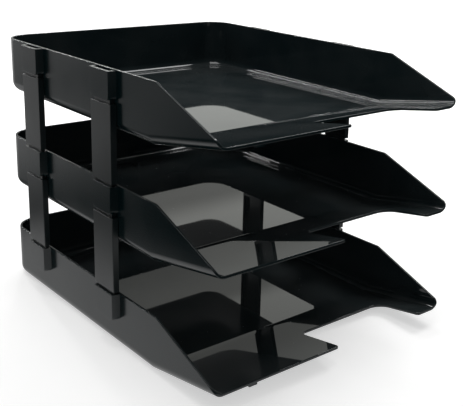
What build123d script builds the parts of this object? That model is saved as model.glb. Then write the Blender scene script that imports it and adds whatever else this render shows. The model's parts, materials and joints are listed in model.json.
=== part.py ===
from build123d import *
import math
import os

# Desktop letter tray stack: three open trays carried on eight separate risers.
# X runs across the trays, +Y to the closed rear end, +Z up. The open, lipped front faces -Y.
# The origin is the middle of the footprint, on the surface that the lowest tray stands on.
# All sizes are in millimetres.

# Tray shell
tray_width = 264.5
tray_depth = 350.0
tray_height = 52.0
wall = 2.2
floor_thick = 2.4
rear_corner = 25.0
base_round = 10.0
rim_round = 0.6

# Sloped front: the floor ramps up to its free edge, and the side rims come down to a short lip
ramp_length = 86.0
ramp_rise = 15.0
ramp_blend = 6.0
slope_length = 78.0
slope_blend = 3.0
lip_height = 22.5
lip_round = 7.0

# Off-centre finger notch: a tongue on the left, a narrow strip along the right wall
tongue_width = 134.0
strip_width = 28.0
notch_depth = 48.5
notch_round_left = 7.0
notch_round_right = 13.0
notch_tip_round = 3.0

# Moulding nub under the front edge of the tongue
nub_offset = 40.0
nub_width = 8.0
nub_depth = 3.0
nub_drop = 1.4

# Riser sockets on the outside of the side walls, level with the rim
socket_width = 29.6
socket_flare = 1.6
socket_proud = 6.8
socket_height = 24.0
socket_drop = 0.8
socket_plate = 2.4
socket_flank = 1.8
socket_round = 3.5
socket_edge = 0.5
web_thick = 2.0
lower_pocket = 11.0
rear_socket_setback = 71.6
front_socket_setback = 150.0

# Risers: open channels with a tongue at each end
tier_pitch = 96.7
tiers = 3
riser_width = 32.0
riser_plate = 1.6
riser_cap = 2.4
riser_edge = 0.6
riser_inset = 1.1
riser_wall_gap = 0.3
pocket_clearance = 0.3
shoulder_gap_low = 1.5
shoulder_gap_high = 3.3

# Places that follow from the sizes above
half_width = tray_width / 2
front_y = -tray_depth / 2
rear_y = tray_depth / 2
reach = tray_depth
ramp_angle = math.atan2(ramp_rise, ramp_length)
ramp_slope = math.tan(ramp_angle)
socket_top = tray_height - socket_drop
socket_bottom = socket_top - socket_height
web_bottom = socket_bottom + lower_pocket
web_top = web_bottom + web_thick
pocket_width = socket_width - 2 * socket_flank
pocket_depth = socket_proud - socket_plate
riser_inner = half_width + riser_wall_gap
riser_depth = socket_proud - riser_inset - riser_wall_gap
tongue_inner = half_width + pocket_clearance
tongue_depth = pocket_depth - 2 * pocket_clearance
tongue_across = pocket_width - 2 * pocket_clearance
socket_places = {
    "front": front_y + front_socket_setback,
    "rear": rear_y - rear_socket_setback,
}
tier_names = ["bottom", "middle", "top"]
stage_names = ["lower", "upper"]


def ramp_height(y):
    # Height of the underside of the sloped front at a place along the tray
    return max(0.0, (front_y + ramp_length - y) * ramp_slope)


def base_edges(solid, rear):
    # The edges round the bottom of a shell, without the free front edge and the bends of the floor
    chosen = []
    for edge in solid.edges():
        box = edge.bounding_box()
        across = box.size.X > 1 and box.size.Y < 0.01
        at_rear = abs(box.center().Y - rear) < 0.01
        flat = box.size.Z < ramp_height(box.min.Y) - ramp_height(box.max.Y) + 0.5
        low = box.min.Z < ramp_height(box.max.Y) + floor_thick + 0.5
        if flat and low and (at_rear or not across):
            chosen.append(edge)
    return chosen


def side_face(points, rounds):
    # Face in the YZ plane from (y, z) points, with some corners rounded
    face = make_face(Polyline(*[(0, y, z) for y, z in points], close=True))
    for (y, z), radius in rounds:
        corner = face.vertices().sort_by_distance((0, y, z))[0]
        face = fillet(corner, radius)
    return face


def plan_prism(half, front, rear, corner, top):
    # Upright prism of the plan outline, with rounded rear corners
    flat = Pos(0, (front + rear) / 2) * Rectangle(2 * half, rear - front)
    flat = fillet(flat.vertices().group_by(Axis.Y)[-1], corner)
    return extrude(flat, top)


def outer_body():
    kink = (front_y + ramp_length, 0.0)
    crest = (front_y + slope_length, tray_height)
    tip = (front_y, lip_height)
    points = [(front_y, ramp_rise), kink, (rear_y, 0.0), (rear_y, tray_height), crest, tip]
    rounds = [(kink, ramp_blend + floor_thick), (crest, slope_blend), (tip, lip_round)]
    profile = side_face(points, rounds)
    body = extrude(profile, half_width, dir=(1, 0, 0), both=True)
    body = body & plan_prism(half_width, front_y, rear_y, rear_corner, tray_height)
    return fillet(base_edges(body, rear_y), base_round)


def cavity_body():
    half = half_width - wall
    rear = rear_y - wall
    front = front_y - reach
    lift = floor_thick / math.cos(ramp_angle)
    kink = (front_y + ramp_length + floor_thick * math.tan(ramp_angle / 2), floor_thick)
    start = (front, ramp_height(front) + lift)
    points = [start, kink, (rear, floor_thick), (rear, reach), (front, reach)]
    profile = side_face(points, [(kink, ramp_blend)])
    body = extrude(profile, half, dir=(1, 0, 0), both=True)
    body = body & plan_prism(half, front, rear, rear_corner - wall, reach)
    return fillet(base_edges(body, rear), base_round - wall)


def notch_prism():
    left = -half_width + tongue_width
    right = half_width - strip_width
    back = front_y + notch_depth
    front = front_y - notch_depth
    flat = Pos((left + right) / 2, (front + back) / 2) * Rectangle(right - left, back - front)
    flat = fillet(flat.vertices().sort_by_distance((left, back, 0))[0], notch_round_left)
    flat = fillet(flat.vertices().sort_by_distance((right, back, 0))[0], notch_round_right)
    size = notch_tip_round
    for side, x_tip in ((-1, left), (1, right)):
        corner = Pos(x_tip + side * size / 2, front_y + size / 2) * Rectangle(size, size)
        kept = Pos(x_tip + side * size, front_y + size) * Circle(size)
        flat = flat + (corner - kept)
    return extrude(flat, lip_height)


def socket(y_place):
    # Socket on the right wall: a flared box with a pocket above and a pocket below a web
    near = half_width - wall / 2
    far = half_width + socket_proud
    wide = socket_width / 2 + socket_flare
    slim = socket_width / 2
    plan = [(near, -wide), (half_width, -wide), (far, -slim), (far, slim), (half_width, wide), (near, wide)]
    block = extrude(make_face(Polyline(*plan, close=True)), socket_height)
    lower = [e for e in block.edges() if e.bounding_box().max.Z < 0.01 and e.bounding_box().size.X > 2]
    block = fillet(lower, socket_round)
    outside = block.faces().sort_by(Axis.X)[-1].edges()
    block = fillet(outside, socket_edge)
    space = Box(pocket_depth, pocket_width, socket_height, align=(Align.MIN, Align.CENTER, Align.MIN))
    block = block - Pos(half_width, 0, web_top - socket_bottom) * space
    block = block - Pos(half_width, 0, web_bottom - socket_bottom - socket_height) * space
    return Pos(0, y_place, socket_bottom) * block


def tray():
    shell = outer_body() - cavity_body() - notch_prism()
    shell = fillet(free_edges(shell), rim_round)
    nub = Box(nub_width, nub_depth, nub_drop + floor_thick / 2, align=(Align.CENTER, Align.MIN, Align.MIN))
    nub_y = front_y + rim_round
    nub_z = ramp_height(nub_y + nub_depth) - nub_drop
    shell = shell + Pos(-half_width + nub_offset, nub_y, nub_z) * nub
    for y_place in socket_places.values():
        right = socket(y_place)
        shell = shell + right + mirror(right, Plane.YZ)
    return shell


def free_edges(shell):
    # Edges of the thin end faces: the rim, the front end and the sides of the notch
    chosen = []
    seen = set()
    for face in shell.faces():
        box = face.bounding_box()
        thin_top = box.size.Z < 0.01 and box.min.Z > tray_height - 0.01
        if thin_top or is_end_face(face):
            for edge in face.edges():
                if edge.length > 2 * wall and edge not in seen:
                    chosen.append(edge)
                    seen.add(edge)
    return chosen


def is_end_face(face):
    # Faces that look forward or up out of the sloped front, and the walls of the notch
    box = face.bounding_box()
    middle = face.center()
    normal = face.normal_at(middle)
    in_front = box.max.Y < front_y + slope_length + slope_blend
    on_rim = in_front and abs(normal.X) < 0.01 and box.size.X < wall + 0.01 and box.min.Z > ramp_rise
    at_front = box.max.Y < front_y + 0.01
    upright = abs(normal.Z) < 0.01 and box.max.Y < front_y + notch_depth + 0.01
    inside = abs(middle.X) < half_width - wall - 1
    return on_rim or at_front or (upright and inside)


def riser():
    # Riser for the right side, standing in a socket of the tray below, at y = 0 and the height it stands at
    low = tray_height + shoulder_gap_low
    high = tier_pitch + socket_bottom - shoulder_gap_high
    foot = web_top
    head = tier_pitch + web_bottom
    corner = (Align.MIN, Align.CENTER, Align.MIN)
    body = Box(riser_depth, riser_width, high - low, align=corner)
    body = fillet(body.faces().sort_by(Axis.X)[-1].edges(), riser_edge)
    hollow = Box(riser_depth, riser_width - 2 * riser_plate, high - low - 2 * riser_cap, align=corner)
    body = body - Pos(-riser_plate, 0, riser_cap) * hollow
    tongue = Box(tongue_depth, tongue_across, head - foot, align=corner)
    gap = Box(tongue_depth, tongue_across, high - low - 2 * riser_cap, align=corner)
    tongue = tongue - Pos(0, 0, low + riser_cap - foot) * gap
    whole = Pos(riser_inner, 0, low) * body
    for end in tongue.solids():
        whole = whole + Pos(tongue_inner, 0, foot) * end
    return whole


def save(shape, name):
    export_step(shape, os.path.join("parts", name + ".step"))


os.makedirs("parts", exist_ok=True)

one_tray = tray()
for tier in range(tiers):
    save(Pos(0, 0, tier * tier_pitch) * one_tray, "tray_" + tier_names[tier])

right_riser = riser()
left_riser = mirror(right_riser, Plane.YZ)
for stage in range(tiers - 1):
    for place, y_place in socket_places.items():
        move = Pos(0, y_place, stage * tier_pitch)
        save(move * right_riser, "riser_" + stage_names[stage] + "_right_" + place)
        save(move * left_riser, "riser_" + stage_names[stage] + "_left_" + place)

print("overall width", round(2 * (half_width + socket_proud), 1))
print("overall height", round((tiers - 1) * tier_pitch + tray_height, 1))
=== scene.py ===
import json
import math

import bmesh
import bpy
from mathutils import Matrix, Vector


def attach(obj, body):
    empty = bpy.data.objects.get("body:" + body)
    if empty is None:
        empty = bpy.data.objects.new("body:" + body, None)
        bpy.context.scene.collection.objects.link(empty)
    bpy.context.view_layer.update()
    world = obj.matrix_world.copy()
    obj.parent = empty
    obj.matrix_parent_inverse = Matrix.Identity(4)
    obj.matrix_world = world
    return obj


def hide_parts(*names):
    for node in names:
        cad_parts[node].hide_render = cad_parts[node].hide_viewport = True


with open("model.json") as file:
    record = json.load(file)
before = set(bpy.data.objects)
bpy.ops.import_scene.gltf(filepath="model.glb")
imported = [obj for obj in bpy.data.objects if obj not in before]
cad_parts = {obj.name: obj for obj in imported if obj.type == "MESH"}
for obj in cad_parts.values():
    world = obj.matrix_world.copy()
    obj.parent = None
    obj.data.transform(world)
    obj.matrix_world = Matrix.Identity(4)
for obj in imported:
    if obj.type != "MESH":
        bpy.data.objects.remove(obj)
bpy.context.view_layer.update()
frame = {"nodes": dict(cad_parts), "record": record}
print("frame loaded:", len(frame["nodes"]), "moulded pieces")

# Sizes that the finishes need, in metres, as the trays were drawn
shell = {
    "halfWidth": 0.13225,
    "rearY": 0.175,
    "frontY": -0.175,
    "rearCorner": 0.025,
    "baseRound": 0.010,
    "wall": 0.0022,
    "height": 0.052,
    "rampLength": 0.086,
    "rampRise": 0.015,
    "tierPitch": 0.0967,
}
rampBend = shell["frontY"] + shell["rampLength"]


def newGroup(name, inputs, outputs):
    group = bpy.data.node_groups.new(name, "ShaderNodeTree")
    for label, kind in inputs:
        group.interface.new_socket(label, in_out="INPUT", socket_type="NodeSocket" + kind)
    for label in outputs:
        group.interface.new_socket(label, in_out="OUTPUT", socket_type="NodeSocketFloat")
    start = group.nodes.new("NodeGroupInput")
    end = group.nodes.new("NodeGroupOutput")
    return group, start, end


def feed(tree, value, socket):
    # A plain number is written on the socket, anything else is linked to it
    if isinstance(value, (int, float)):
        socket.default_value = value
    else:
        tree.links.new(value, socket)


def addMath(tree, operation, first, second=0.0, clamp=False):
    node = tree.nodes.new("ShaderNodeMath")
    node.operation = operation
    node.use_clamp = clamp
    feed(tree, first, node.inputs[0])
    feed(tree, second, node.inputs[1])
    return node.outputs[0]


def addSum(tree, first, second):
    return addMath(tree, "ADD", first, second)


def addGap(tree, first, second):
    return addMath(tree, "SUBTRACT", first, second)


def addProduct(tree, first, second, clamp=False):
    return addMath(tree, "MULTIPLY", first, second, clamp)


def addLarger(tree, first, second):
    return addMath(tree, "MAXIMUM", first, second)


def addSize(tree, value):
    return addMath(tree, "ABSOLUTE", value)


def addLength(tree, first, second):
    squares = addSum(tree, addProduct(tree, first, first), addProduct(tree, second, second))
    return addMath(tree, "POWER", squares, 0.5)


def addMix(tree, factor, first, second):
    # first + (second - first) * factor, for plain values
    return addSum(tree, addProduct(tree, addGap(tree, second, first), factor), first)


def addRange(tree, value, low, high, outLow=0.0, outHigh=1.0, smooth=True):
    node = tree.nodes.new("ShaderNodeMapRange")
    node.interpolation_type = "SMOOTHSTEP" if smooth else "LINEAR"
    feed(tree, value, node.inputs["Value"])
    for label, number in (("From Min", low), ("From Max", high), ("To Min", outLow), ("To Max", outHigh)):
        feed(tree, number, node.inputs[label])
    return node.outputs["Result"]


def addSplit(tree, vector):
    node = tree.nodes.new("ShaderNodeSeparateXYZ")
    tree.links.new(vector, node.inputs[0])
    return node.outputs


def addMapping(tree, vector, stretch, turn=0.0):
    node = tree.nodes.new("ShaderNodeMapping")
    node.inputs["Rotation"].default_value = (0.0, 0.0, turn)
    node.inputs["Scale"].default_value = stretch
    tree.links.new(vector, node.inputs["Vector"])
    return node.outputs["Vector"]


def addNoise(tree, vector, scale, detail=2.0, roughness=0.5):
    node = tree.nodes.new("ShaderNodeTexNoise")
    tree.links.new(vector, node.inputs["Vector"])
    feed(tree, scale, node.inputs["Scale"])
    node.inputs["Detail"].default_value = detail
    node.inputs["Roughness"].default_value = roughness
    return node.outputs["Fac"]


def addVectorMath(tree, operation, first, second=None):
    node = tree.nodes.new("ShaderNodeVectorMath")
    node.operation = operation
    tree.links.new(first, node.inputs[0])
    if second:
        tree.links.new(second, node.inputs[1])
    return node.outputs["Vector"]


def addBump(tree, height, distance, normal=None):
    node = tree.nodes.new("ShaderNodeBump")
    node.inputs["Distance"].default_value = distance
    tree.links.new(height, node.inputs["Height"])
    if normal:
        tree.links.new(normal, node.inputs["Normal"])
    return node.outputs["Normal"]


# Where the inside skin fades in, as shares of the wall's thickness, and the rim's depth in metres
skinEdges = {
    "insideStart": 0.55,
    "insideEnd": 0.9,
    "rimDepth": 0.0025,
}


def makeShellGroup():
    # Which skin of the tray a point is on: 1 on the polished inside, 0 on the satin outside
    group, start, end = newGroup(
        "trayShellSides",
        [("Position", "Vector"), ("Tier Base", "Float")],
        ["Inside", "Rim"],
    )
    x, y, z = addSplit(group, start.outputs["Position"])
    height = addGap(group, z, start.outputs["Tier Base"])

    # Distance past the outline of the tray seen from above, with its rounded rear corners
    radius = shell["rearCorner"]
    across = addGap(group, addSize(group, x), shell["halfWidth"] - radius)
    along = addGap(group, y, shell["rearY"] - radius)
    corner = addLength(group, addLarger(group, across, 0.0), addLarger(group, along, 0.0))
    straight = addMath(group, "MINIMUM", addLarger(group, across, along), 0.0)
    plan = addGap(group, addSum(group, corner, straight), radius)

    # Distance below the underside of the floor and its ramp
    slope = shell["rampRise"] / shell["rampLength"]
    ramp = addLarger(group, addProduct(group, addGap(group, rampBend, y), slope), 0.0)
    below = addGap(group, ramp, height)

    # Depth under the outer skin, with the fillet round the bottom
    rounding = shell["baseRound"]
    planIn = addSum(group, plan, rounding)
    belowIn = addSum(group, below, rounding)
    curve = addLength(group, addLarger(group, planIn, 0.0), addLarger(group, belowIn, 0.0))
    deep = addMath(group, "MINIMUM", addLarger(group, planIn, belowIn), 0.0)
    depth = addGap(group, rounding, addSum(group, curve, deep))

    wall = shell["wall"]
    inside = addRange(group, depth, wall * skinEdges["insideStart"], wall * skinEdges["insideEnd"])
    rim = addRange(group, addGap(group, shell["height"], height), 0.0, skinEdges["rimDepth"], 1.0, 0.0)
    group.links.new(inside, end.inputs["Inside"])
    group.links.new(rim, end.inputs["Rim"])
    return group


def makeDustGroup():
    # Loose specks of dust and lint: a small soft dot in some of the cells
    group, start, end = newGroup(
        "looseDust",
        [("Position", "Vector"), ("Scale", "Float"), ("Amount", "Float"), ("Size", "Float")],
        ["Mask"],
    )
    cells = group.nodes.new("ShaderNodeTexVoronoi")
    group.links.new(start.outputs["Position"], cells.inputs["Vector"])
    group.links.new(start.outputs["Scale"], cells.inputs["Scale"])
    tint = group.nodes.new("ShaderNodeSeparateColor")
    group.links.new(cells.outputs["Color"], tint.inputs["Color"])
    chosen = addMath(group, "LESS_THAN", tint.outputs["Red"], start.outputs["Amount"])
    smallest = 0.4  # the smallest dot, as a share of the largest
    share = addRange(group, tint.outputs["Green"], 0.0, 1.0, smallest, 1.0)
    size = addProduct(group, start.outputs["Size"], share)
    dot = addGap(group, 1.0, addRange(group, cells.outputs["Distance"], 0.0, size))
    group.links.new(addProduct(group, dot, chosen, True), end.inputs["Mask"])
    return group


# Each direction is a turn in radians and a stretch of the noise; the thresholds keep its peaks
rubLines = {
    "directions": ((0.10, (9.0, 0.35, 1.0)), (1.45, (7.0, 0.5, 1.0)), (0.55, (11.0, 0.3, 1.0))),
    "detail": 3.0,
    "roughness": 0.6,
    "lineStart": 0.66,
    "lineEnd": 0.78,
    "patchScale": 14.0,
    "patchStart": 0.42,
    "patchEnd": 0.68,
}


def makeRubGroup():
    # Faint rubbing marks that sliding paper leaves, mostly along the tray
    look = rubLines
    group, start, end = newGroup(
        "paperRubMarks",
        [("Position", "Vector"), ("Scale", "Float"), ("Amount", "Float")],
        ["Mask"],
    )
    position = start.outputs["Position"]
    marks = []
    for turn, stretch in look["directions"]:
        drawn = addMapping(group, position, stretch, turn)
        lines = addNoise(group, drawn, start.outputs["Scale"], look["detail"], look["roughness"])
        marks.append(addRange(group, lines, look["lineStart"], look["lineEnd"]))
    total = addSum(group, addSum(group, marks[0], marks[1]), marks[2])
    patches = addNoise(group, position, look["patchScale"])
    patches = addRange(group, patches, look["patchStart"], look["patchEnd"])
    mask = addProduct(group, addProduct(group, total, patches), start.outputs["Amount"], True)
    group.links.new(mask, end.inputs["Mask"])
    return group


mouldTexture = {
    "fineShare": 0.7,
    "fineRoughness": 0.6,
    "coarseShare": 0.3,
    "coarseScale": 420.0,
    "cloudScale": 18.0,
    "cloudDetail": 3.0,
    "cloudRoughness": 0.55,
    "cloudStart": 0.3,
    "cloudEnd": 0.7,
}


def makeGrainGroup():
    # Fine spark-eroded mould texture of a satin face, and slow clouds in its sheen
    look = mouldTexture
    group, start, end = newGroup(
        "mouldGrain",
        [("Position", "Vector"), ("Scale", "Float")],
        ["Height", "Cloud"],
    )
    position = start.outputs["Position"]
    fine = addNoise(group, position, start.outputs["Scale"], roughness=look["fineRoughness"])
    coarse = addNoise(group, position, look["coarseScale"])
    height = addSum(group, addProduct(group, fine, look["fineShare"]),
                    addProduct(group, coarse, look["coarseShare"]))
    cloud = addNoise(group, position, look["cloudScale"], look["cloudDetail"], look["cloudRoughness"])
    cloud = addRange(group, cloud, look["cloudStart"], look["cloudEnd"])
    group.links.new(height, end.inputs["Height"])
    group.links.new(cloud, end.inputs["Cloud"])
    return group


sinkMarks = {
    "slowShare": 0.8,
    "slowScale": 9.0,
    "slowDetail": 1.5,
    "slowRoughness": 0.45,
    "flowShare": 0.2,
    "flowScale": 26.0,
    "flowStretch": (1.0, 0.35, 1.0),
}


def makeRippleGroup():
    # Slow unevenness of a polished moulding: sink marks, and flow marks drawn out along the tray
    look = sinkMarks
    group, start, end = newGroup("mouldRipple", [("Position", "Vector")], ["Height"])
    position = start.outputs["Position"]
    slow = addNoise(group, position, look["slowScale"], look["slowDetail"], look["slowRoughness"])
    flow = addNoise(group, addMapping(group, position, look["flowStretch"]), look["flowScale"])
    height = addSum(group, addProduct(group, slow, look["slowShare"]),
                    addProduct(group, flow, look["flowShare"]))
    group.links.new(height, end.inputs["Height"])
    return group


shellSides = makeShellGroup()
looseDust = makeDustGroup()
paperRubMarks = makeRubGroup()
mouldGrain = makeGrainGroup()
mouldRipple = makeRippleGroup()
print("finish effects built")


def useGroup(tree, group, position, values):
    node = tree.nodes.new("ShaderNodeGroup")
    node.node_tree = group
    tree.links.new(position, node.inputs["Position"])
    for label, value in values.items():
        node.inputs[label].default_value = value
    return node


def mixColour(tree, factor, first, second):
    node = tree.nodes.new("ShaderNodeMix")
    node.data_type = "RGBA"
    tree.links.new(factor, node.inputs["Factor"])
    for label, colour in (("A", first), ("B", second)):
        socket = [s for s in node.inputs if s.name == label and s.type == "RGBA"][0]
        if isinstance(colour, tuple):
            socket.default_value = colour + (1.0,)
        else:
            tree.links.new(colour, socket)
    return [s for s in node.outputs if s.type == "RGBA"][0]


def blankMaterial(name):
    material = bpy.data.materials.new(name)
    material.use_nodes = True
    tree = material.node_tree
    shader = tree.nodes["Principled BSDF"]
    position = tree.nodes.new("ShaderNodeTexCoord").outputs["Object"]
    return material, tree, shader, position


# Black polystyrene, polished inside and satin outside. The veil is the haze of fine dust and wear
trayFinish = {
    "black": (0.0014, 0.0080, 0.0100),
    "satinBlack": (0.0016, 0.0082, 0.0096),
    "ior": 1.54,
    "insideRoughness": 0.014,
    "outsideRoughness": 0.20,
    "outsideSpread": 0.04,
    "rimRoughness": 0.09,
    "dustTint": (0.40, 0.405, 0.40),
    "dustScale": 210.0,
    "dustAmount": 0.12,
    "dustSize": 0.11,
    "dustRoughness": 0.8,
    "veilShare": 0.062,
    "veilSpread": 0.4,
    "wallVeil": 0.4,
    "rubScale": 70.0,
    "rubAmount": 0.6,
    "rubRoughness": 0.08,
    "cloudRoughness": 0.02,
    "grainScale": 2600.0,
    "grainDistance": 0.000010,
    "rippleDistance": 0.00003,
    "upwardStart": 0.35,
    "upwardEnd": 0.9,
    "flatStart": 0.955,
    "flatEnd": 0.98,
    "crownTilt": 0.03,
    "crownStart": 0.003,
    "crownEnd": 0.008,
}


def addCrown(tree, normal, position, flat):
    # The ramp comes out of its bend and then turns a touch flatter, as a moulding that has sunk a little
    look = trayFinish
    y = addSplit(tree, position)["Y"]
    ahead = addRange(tree, y, rampBend - look["crownEnd"], rampBend - look["crownStart"], 1.0, 0.0)
    lean = addProduct(tree, addProduct(tree, ahead, flat), -look["crownTilt"])
    tilt = tree.nodes.new("ShaderNodeCombineXYZ")
    tree.links.new(lean, tilt.inputs["Y"])
    turned = addVectorMath(tree, "ADD", normal, tilt.outputs["Vector"])
    return addVectorMath(tree, "NORMALIZE", turned)


def makeTrayMaterial(name, tierBase):
    look = trayFinish
    material, tree, shader, position = blankMaterial(name)
    sides = useGroup(tree, shellSides, position, {"Tier Base": tierBase})
    grain = useGroup(tree, mouldGrain, position, {"Scale": look["grainScale"]})
    ripple = useGroup(tree, mouldRipple, position, {})
    dustValues = {"Scale": look["dustScale"], "Amount": look["dustAmount"], "Size": look["dustSize"]}
    dust = useGroup(tree, looseDust, position, dustValues)
    rubs = useGroup(tree, paperRubMarks, position, {"Scale": look["rubScale"], "Amount": look["rubAmount"]})
    inside = sides.outputs["Inside"]
    cloud = grain.outputs["Cloud"]

    # Dust lies on what faces up, and the floor's flats are worn by paper
    lift = addSplit(tree, tree.nodes.new("ShaderNodeNewGeometry").outputs["Normal"])["Z"]
    upward = addRange(tree, lift, look["upwardStart"], look["upwardEnd"])
    flat = addRange(tree, lift, look["flatStart"], look["flatEnd"])
    specks = addProduct(tree, dust.outputs["Mask"], upward)

    body = mixColour(tree, inside, look["satinBlack"], look["black"])
    thinnest = (1.0 - look["veilSpread"]) * look["veilShare"]
    thickest = (1.0 + look["veilSpread"]) * look["veilShare"]
    haze = addRange(tree, cloud, 0.0, 1.0, thinnest, thickest, False)
    veil = addProduct(tree, addLarger(tree, upward, addProduct(tree, inside, look["wallVeil"])), haze)
    cover = addLarger(tree, veil, specks)
    tree.links.new(mixColour(tree, cover, body, look["dustTint"]), shader.inputs["Base Color"])

    smoothest = look["outsideRoughness"] - look["outsideSpread"]
    roughest = look["outsideRoughness"] + look["outsideSpread"]
    satin = addRange(tree, cloud, 0.0, 1.0, smoothest, roughest, False)
    satin = addMix(tree, sides.outputs["Rim"], satin, look["rimRoughness"])
    worn = addProduct(tree, addProduct(tree, rubs.outputs["Mask"], flat), look["rubRoughness"])
    clouded = addProduct(tree, addProduct(tree, cloud, flat), look["cloudRoughness"])
    gloss = addSum(tree, addSum(tree, worn, look["insideRoughness"]), clouded)
    skin = addMix(tree, inside, satin, gloss)
    tree.links.new(addMix(tree, specks, skin, look["dustRoughness"]), shader.inputs["Roughness"])

    slow = addBump(tree, ripple.outputs["Height"], look["rippleDistance"])
    sunk = addCrown(tree, slow, position, flat)
    outside = addGap(tree, 1.0, inside)
    texture = addProduct(tree, grain.outputs["Height"], outside)
    tree.links.new(addBump(tree, texture, look["grainDistance"], sunk), shader.inputs["Normal"])
    shader.inputs["IOR"].default_value = look["ior"]
    return material


# The same plastic from a satin mould
riserFinish = {
    "black": (0.0016, 0.0082, 0.0096),
    "ior": 1.72,
    "roughness": 0.32,
    "roughnessSpread": 0.035,
    "dustTint": (0.22, 0.22, 0.21),
    "dustScale": 260.0,
    "dustAmount": 0.03,
    "dustSize": 0.10,
    "rubScale": 55.0,
    "rubAmount": 0.3,
    "rubPolish": 0.06,
    "grainScale": 2300.0,
    "grainDistance": 0.000010,
}


def makeRiserMaterial(name):
    look = riserFinish
    material, tree, shader, position = blankMaterial(name)
    grain = useGroup(tree, mouldGrain, position, {"Scale": look["grainScale"]})
    dustValues = {"Scale": look["dustScale"], "Amount": look["dustAmount"], "Size": look["dustSize"]}
    dust = useGroup(tree, looseDust, position, dustValues)
    rubs = useGroup(tree, paperRubMarks, position, {"Scale": look["rubScale"], "Amount": look["rubAmount"]})
    colour = mixColour(tree, dust.outputs["Mask"], look["black"], look["dustTint"])
    tree.links.new(colour, shader.inputs["Base Color"])

    smoothest = look["roughness"] - look["roughnessSpread"]
    roughest = look["roughness"] + look["roughnessSpread"]
    satin = addRange(tree, grain.outputs["Cloud"], 0.0, 1.0, smoothest, roughest, False)
    polish = addProduct(tree, rubs.outputs["Mask"], -look["rubPolish"])
    tree.links.new(addSum(tree, satin, polish), shader.inputs["Roughness"])

    texture = addBump(tree, grain.outputs["Height"], look["grainDistance"])
    tree.links.new(texture, shader.inputs["Normal"])
    shader.inputs["IOR"].default_value = look["ior"]
    return material


moulding = {
    "weldDistance": 0.000001,
    "creaseAngle": math.radians(28.0),
    "flatWeight": 50,
}


def makeMoulding(nodeName, material):
    # The drawn shape, welded and shaded with true flats and even fillets, so that it mirrors cleanly
    skin = bmesh.new()
    skin.from_mesh(frame["nodes"][nodeName].data)
    bmesh.ops.remove_doubles(skin, verts=skin.verts, dist=moulding["weldDistance"])
    mesh = bpy.data.meshes.new("moulded_" + nodeName)
    skin.to_mesh(mesh)
    skin.free()
    for layerName in ("custom_normal", "sharp_face", "sharp_edge"):
        layer = mesh.attributes.get(layerName)
        if layer:
            mesh.attributes.remove(layer)
    mesh.materials.clear()
    mesh.materials.append(material)
    for face in mesh.polygons:
        face.use_smooth = True
        face.material_index = 0
    mesh.set_sharp_from_angle(angle=moulding["creaseAngle"])
    piece = bpy.data.objects.new("moulded_" + nodeName, mesh)
    bpy.context.scene.collection.objects.link(piece)
    shading = piece.modifiers.new("trueFlats", "WEIGHTED_NORMAL")
    shading.mode = "FACE_AREA"
    shading.weight = moulding["flatWeight"]
    shading.keep_sharp = True
    bodies = frame["record"]["behaviour"]["bodies"]
    body = [name for name, nodes in bodies.items() if nodeName in nodes][0]
    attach(piece, body)
    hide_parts(nodeName)


for tierNumber, tier in enumerate(("bottom", "middle", "top")):
    trayPlastic = makeTrayMaterial("trayPlastic_" + tier, tierNumber * shell["tierPitch"])
    makeMoulding("tray_" + tier, trayPlastic)
riserPlastic = makeRiserMaterial("riserPlastic")
for nodeName in sorted(frame["nodes"]):
    if nodeName.startswith("riser_"):
        makeMoulding(nodeName, riserPlastic)
print("mouldings welded and painted")


def addSeenDirectly(tree):
    # 1 for what the camera sees, straight or through something clear, and 0 for every other ray
    path = tree.nodes.new("ShaderNodeLightPath")
    seen = addLarger(tree, path.outputs["Is Camera Ray"], path.outputs["Is Transmission Ray"])
    return seen, path.outputs["Is Glossy Ray"]


def addChoice(tree, factor, first, second):
    node = tree.nodes.new("ShaderNodeMixShader")
    tree.links.new(factor, node.inputs[0])
    tree.links.new(first, node.inputs[1])
    tree.links.new(second, node.inputs[2])
    return node.outputs[0]


def addGlow(tree, strength):
    node = tree.nodes.new("ShaderNodeEmission")
    tree.links.new(strength, node.inputs["Strength"])
    return node


# Starts, ends and the size are in metres. Lift is the white added for the camera, near the object and
# far from it. The mirrored values are how bright polished faces see the table: close by, in front,
# behind and at the horizon, and the share that is left of the front and back ones far aside
paleFloor = {
    "size": 8.0,
    "colour": (0.86, 0.86, 0.855),
    "mottle": 0.985,
    "mottleScale": 40.0,
    "mottleDetail": 3.0,
    "mottleLow": 0.3,
    "mottleHigh": 0.7,
    "roughness": 0.9,
    "specular": 0.2,
    "liftNear": 0.52,
    "liftFar": 1.0,
    "liftStart": 0.35,
    "liftEnd": 0.95,
    "mirroredNear": 0.62,
    "nearStart": 0.05,
    "nearEnd": 0.18,
    "mirroredFront": 0.015,
    "mirroredBack": 0.62,
    "backStart": 0.2,
    "backEnd": 0.75,
    "mirroredAside": 0.36,
    "asideStart": 0.28,
    "asideEnd": 0.45,
    "mirroredHorizon": 0.22,
    "horizonStart": 0.95,
    "horizonEnd": 1.35,
}


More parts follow.
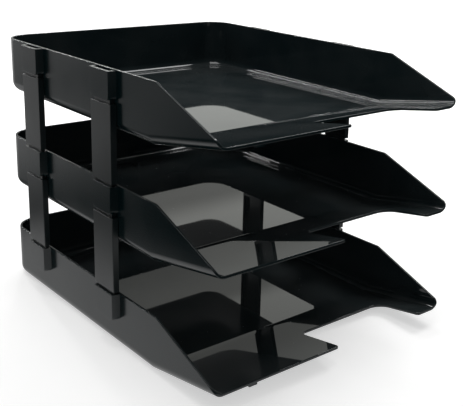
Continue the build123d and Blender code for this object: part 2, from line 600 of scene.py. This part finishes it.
def makeFloor():
    look = paleFloor
    bpy.ops.mesh.primitive_plane_add(size=look["size"], location=(0.0, 0.0, 0.0))
    floor = bpy.context.object
    floor.name = "studioFloor"
    material, tree, shader, position = blankMaterial("paleFloor")
    material.cycles.emission_sampling = "NONE"
    shader.inputs["Roughness"].default_value = look["roughness"]
    shader.inputs["Specular IOR Level"].default_value = look["specular"]
    mottling = addNoise(tree, position, look["mottleScale"], look["mottleDetail"])
    mottling = addRange(tree, mottling, look["mottleLow"], look["mottleHigh"])
    darker = tuple(part * look["mottle"] for part in look["colour"])
    tree.links.new(mixColour(tree, mottling, darker, look["colour"]), shader.inputs["Base Color"])

    place = addSplit(tree, position)
    across = addGap(tree, addSize(tree, place["X"]), shell["halfWidth"])
    along = addGap(tree, addSize(tree, place["Y"]), shell["rearY"])
    away = addLarger(tree, across, along)
    front, rear = look["mirroredFront"], look["mirroredBack"]
    back = addRange(tree, place["Y"], look["backStart"], look["backEnd"], front, rear)
    aside = addRange(tree, across, look["asideStart"], look["asideEnd"], 1.0, look["mirroredAside"])
    near = addRange(tree, away, look["nearStart"], look["nearEnd"], look["mirroredNear"], 0.0)
    far = addRange(tree, away, look["horizonStart"], look["horizonEnd"], 0.0, look["mirroredHorizon"])
    mirrored = addSum(tree, addLarger(tree, addProduct(tree, back, aside), near), far)

    # The camera sees the lit table with white added, and polished faces see the mirrored levels
    seen, glossy = addSeenDirectly(tree)
    lift = addRange(tree, away, look["liftStart"], look["liftEnd"], look["liftNear"], look["liftFar"])
    table = tree.nodes.new("ShaderNodeAddShader")
    tree.links.new(shader.outputs[0], table.inputs[0])
    tree.links.new(addGlow(tree, addProduct(tree, seen, lift)).outputs[0], table.inputs[1])
    surface = addChoice(tree, glossy, table.outputs[0], addGlow(tree, mirrored).outputs[0])
    tree.links.new(surface, tree.nodes["Material Output"].inputs["Surface"])
    floor.data.materials.append(material)


# Ambient lights the object; polished faces mirror a soft backdrop behind and to the right,
# dim elsewhere, with a glow straight behind. Starts and ends are parts of the direction
whiteStudio = {
    "ambient": 0.32,
    "mirroredBack": 0.27,
    "mirroredFront": 0.03,
    "backStart": -0.35,
    "backEnd": 0.45,
    "rightStart": -0.68,
    "rightEnd": -0.15,
    "rearGlow": 0.35,
    "glowStart": 0.80,
    "glowEnd": 0.94,
}


def makeWorld():
    look = whiteStudio
    world = bpy.data.worlds.new("whiteStudio")
    bpy.context.scene.world = world
    world.use_nodes = True
    world.cycles.sampling_method = "NONE"
    tree = world.node_tree
    background = tree.nodes["Background"]
    background.inputs["Color"].default_value = (1.0, 1.0, 1.0, 1.0)
    towards = addSplit(tree, tree.nodes.new("ShaderNodeTexCoord").outputs["Generated"])
    behind = addRange(tree, towards["Y"], look["backStart"], look["backEnd"])
    lit = addProduct(tree, behind, addRange(tree, towards["X"], look["rightStart"], look["rightEnd"]))
    backdrop = addLarger(tree, addProduct(tree, lit, look["mirroredBack"]), look["mirroredFront"])
    glow = addRange(tree, towards["Y"], look["glowStart"], look["glowEnd"], 0.0, look["rearGlow"])
    backdrop = addSum(tree, backdrop, glow)
    seen, glossy = addSeenDirectly(tree)
    mirrored = addProduct(tree, glossy, addGap(tree, backdrop, look["ambient"]))
    level = addSum(tree, look["ambient"], mirrored)
    tree.links.new(addLarger(tree, level, seen), background.inputs["Strength"])


# Backdrop that only glossy faces mirror: a card behind the object, darker towards the table.
# Each step is a height in metres and the brightness there
backCard = {
    "place": (0.52, 0.475, 0.23),
    "width": 1.14,
    "height": 0.32,
    "colour": (0.98, 1.0, 0.95, 1.0),
    "steps": ((0.20, 0.29), (0.29, 0.46), (0.335, 0.92)),
    "softEdge": 0.06,
}


def makeBackCard():
    look = backCard
    upright = (math.pi / 2, 0.0, 0.0)
    bpy.ops.mesh.primitive_plane_add(size=1.0, location=look["place"], rotation=upright)
    card = bpy.context.object
    card.name = "mirroredBackdrop"
    card.scale = (look["width"], look["height"], 1.0)
    material = bpy.data.materials.new("gradedCard")
    material.use_nodes = True
    material.cycles.emission_sampling = "NONE"
    tree = material.node_tree
    tree.nodes.remove(tree.nodes["Principled BSDF"])
    place = addSplit(tree, tree.nodes.new("ShaderNodeNewGeometry").outputs["Position"])
    (lowZ, low), (midZ, mid), (highZ, high) = look["steps"]
    level = addRange(tree, place["Z"], lowZ, midZ, low, mid)
    level = addSum(tree, level, addRange(tree, place["Z"], midZ, highZ, 0.0, high - mid))
    light = addGlow(tree, level)
    light.inputs["Color"].default_value = look["colour"]
    clear = tree.nodes.new("ShaderNodeBsdfTransparent")
    leftEdge = look["place"][0] - look["width"] / 2
    shown = addRange(tree, place["X"], leftEdge, leftEdge + look["softEdge"])
    surface = addChoice(tree, shown, clear.outputs[0], light.outputs[0])
    tree.links.new(surface, tree.nodes["Material Output"].inputs["Surface"])
    card.data.materials.append(material)
    card.visible_camera = False
    card.visible_diffuse = False
    card.visible_transmission = False
    card.visible_shadow = False


# Lamps: place, width and height in metres, and brightness as seen in a mirror, all aimed at one point
lampAim = (0.0, 0.0, 0.15)
lamps = {
    "rearStripLeft": ((-0.50, 1.15, 0.90), 0.022, 1.0, 28.0),
    "rearStripMiddle": ((0.02, 1.15, 0.90), 0.022, 1.0, 28.0),
    "rearStripRight": ((0.46, 1.10, 0.86), 0.022, 1.0, 28.0),
    "rightStrip": ((0.725, 0.87, 1.05), 0.46, 0.05, 20.0),
    "sideSoftbox": ((0.90, 0.12, 1.30), 0.45, 0.55, 6.0),
    "overheadSoftbox": ((-0.10, 0.05, 1.45), 0.70, 0.60, 3.4),
}


def addLamp(name, place, width, height, brightness):
    light = bpy.data.lights.new(name, "AREA")
    light.shape = "RECTANGLE"
    light.size = width
    light.size_y = height
    light.energy = brightness * width * height * math.pi
    lamp = bpy.data.objects.new(name, light)
    bpy.context.scene.collection.objects.link(lamp)
    lamp.location = place
    lamp.rotation_euler = (Vector(lampAim) - Vector(place)).to_track_quat("-Z", "Y").to_euler()
    lamp.visible_camera = False


makeFloor()
makeWorld()
makeBackCard()
for name, values in lamps.items():
    addLamp(name, *values)
print("studio lit")

# The photographer's viewpoint: angles in degrees, lengths in metres, and the focal length and the
# optical centre in pixels of a picture of that width and height
viewpoint = {
    "azimuth": -39.94,
    "elevation": 15.93,
    "roll": 1.67,
    "distance": 0.8116,
    "target": (0.02715, -0.025, 0.14535),
    "focalPixels": 850.15,
    "centre": (254.48, 155.61),
    "pictureWidth": 465.0,
    "pictureHeight": 406.0,
    "sensorWidth": 36.0,  # in millimetres
    "farthest": 20.0,
}


def makeCamera():
    view = viewpoint
    azimuth, elevation, roll = (math.radians(view[key]) for key in ("azimuth", "elevation", "roll"))
    level = math.cos(elevation)
    back = Vector((math.sin(azimuth) * level, -math.cos(azimuth) * level, math.sin(elevation)))
    right = (-back).cross(Vector((0.0, 0.0, 1.0))).normalized()
    up = right.cross(-back)
    rolledRight = math.cos(roll) * right + math.sin(roll) * up
    rolledUp = math.cos(roll) * up - math.sin(roll) * right
    place = Vector(view["target"]) + back * view["distance"]
    data = bpy.data.cameras.new("photoCamera")
    camera = bpy.data.objects.new("photoCamera", data)
    bpy.context.scene.collection.objects.link(camera)
    camera.matrix_world = Matrix((
        (rolledRight.x, rolledUp.x, back.x, place.x),
        (rolledRight.y, rolledUp.y, back.y, place.y),
        (rolledRight.z, rolledUp.z, back.z, place.z),
        (0.0, 0.0, 0.0, 1.0),
    ))
    centreX, centreY = view["centre"]
    data.sensor_width = view["sensorWidth"]
    data.lens = view["focalPixels"] / view["pictureWidth"] * view["sensorWidth"]
    data.shift_x = (view["pictureWidth"] / 2 - centreX) / view["pictureWidth"]
    data.shift_y = (centreY - view["pictureHeight"] / 2) / view["pictureWidth"]
    data.clip_end = view["farthest"]
    bpy.context.scene.camera = camera


makeCamera()
bpy.context.scene.view_settings.view_transform = "Standard"
print("camera placed")
